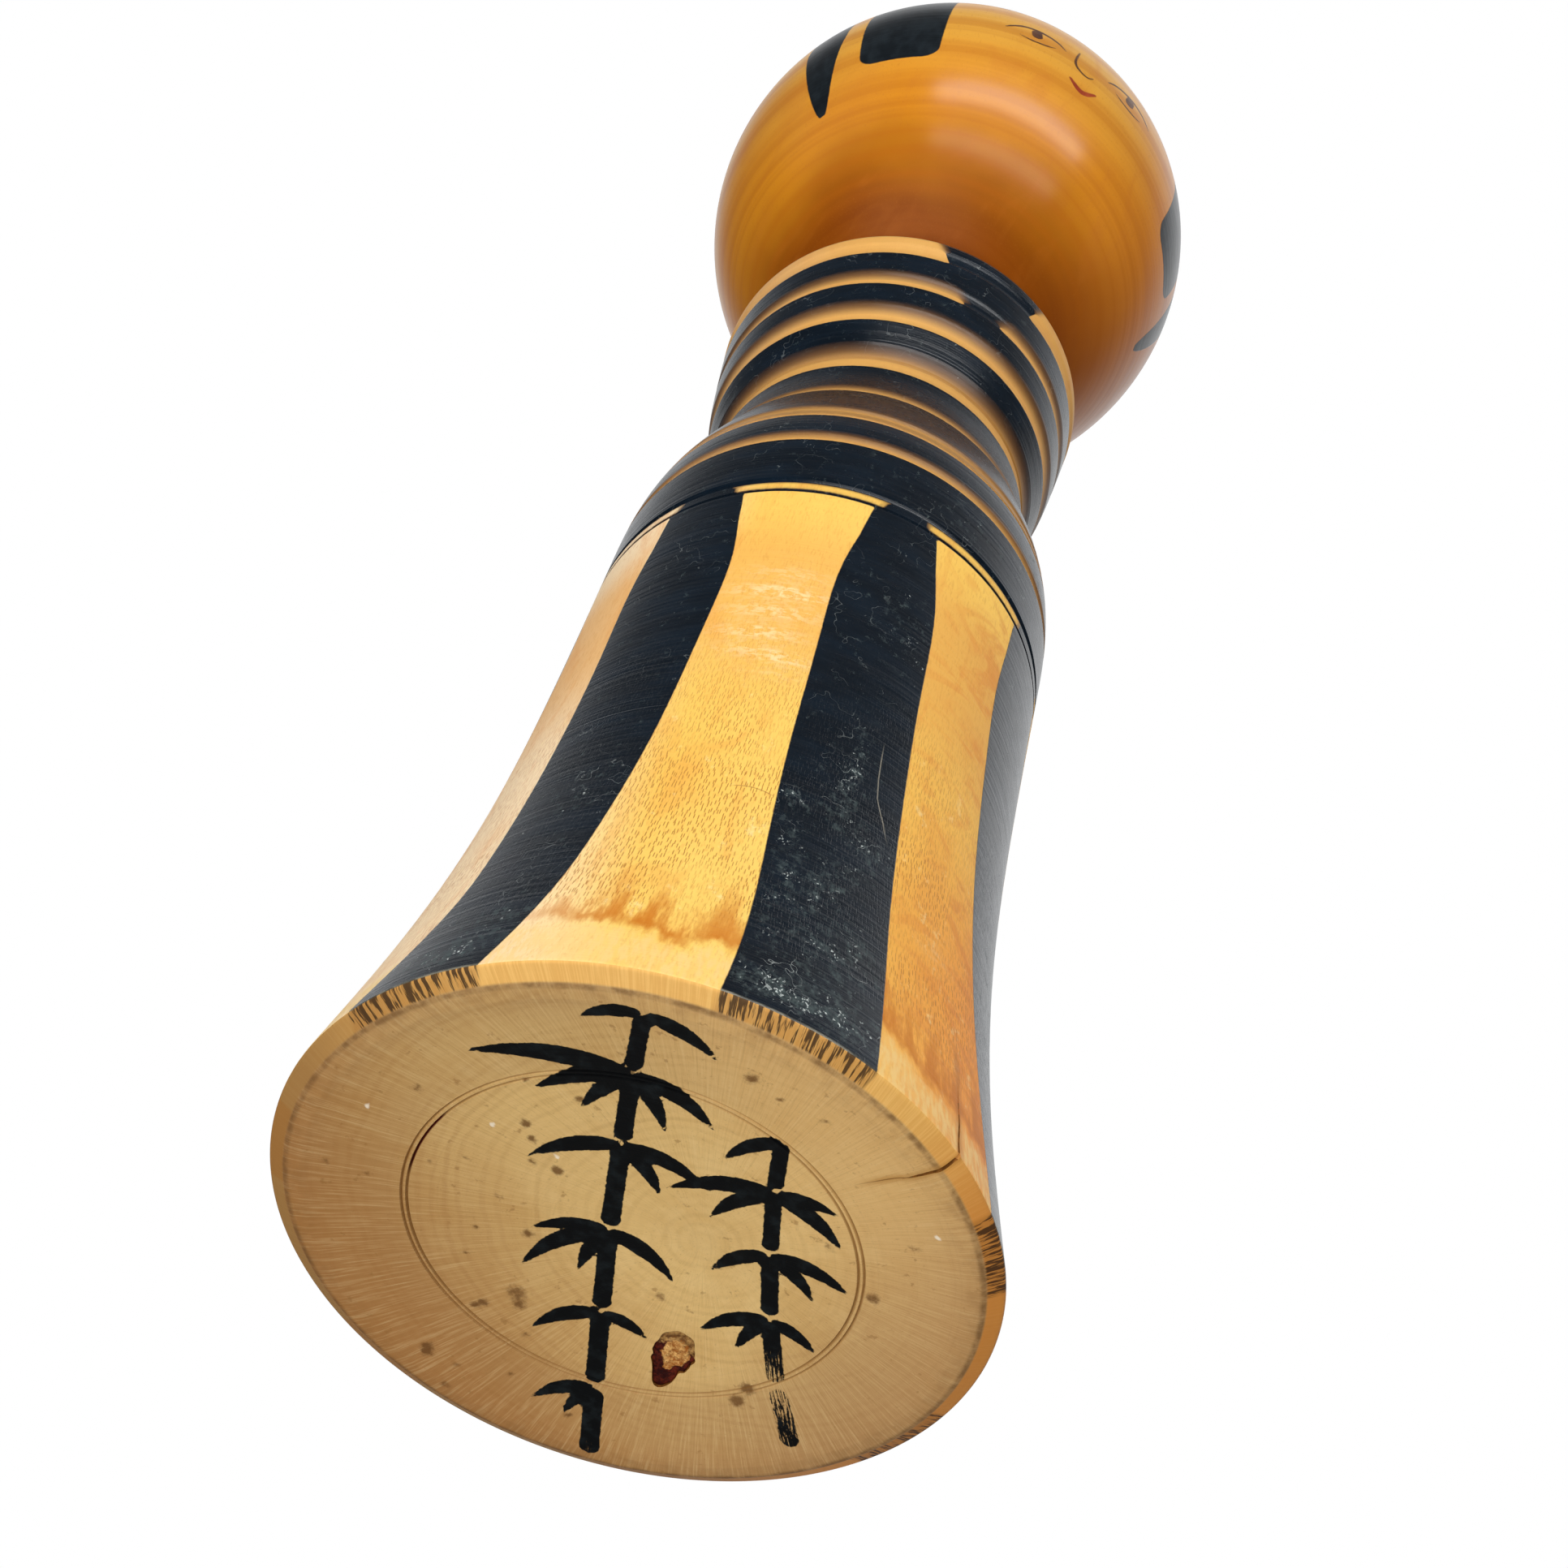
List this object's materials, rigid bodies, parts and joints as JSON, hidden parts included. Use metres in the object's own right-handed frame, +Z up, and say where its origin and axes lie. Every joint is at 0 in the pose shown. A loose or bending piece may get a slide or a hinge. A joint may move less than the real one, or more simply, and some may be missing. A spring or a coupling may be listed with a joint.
{
  "type": "turned wooden doll",
  "caption": "Standing lathe-turned doll: a waisted body with a flared striped skirt and ringed chest, and a round head on a tenon that turns in the body's socket.",
  "frame": {"origin": "centre of the foot's standing ring, on the turning axis, at the height of the table it stands on", "axes": "+Z up along the turning axis from the foot to the head; the face and the front of the body look along -Y; +X is the doll's left-hand side"},
  "size_m": [0.071, 0.071, 0.24],
  "materials": {
    "body_wood": "waxed pale wood with satin black painted stripes and rings",
    "head_wood": "glossy amber varnish with black painted hair",
    "knot_wood": "raw dark knot with a bark ring"
  },
  "bodies": {
    "body": {"body": "body_wood", "base_knot": "knot_wood"},
    "head": {"head": "head_wood"}
  },
  "joints": [
    {"name": "head_turn", "type": "hinge", "parent": "body", "child": "head", "pos_m": [0, 0, 0.168], "axis": [0, 0, 1], "continuous": true}
  ]
}
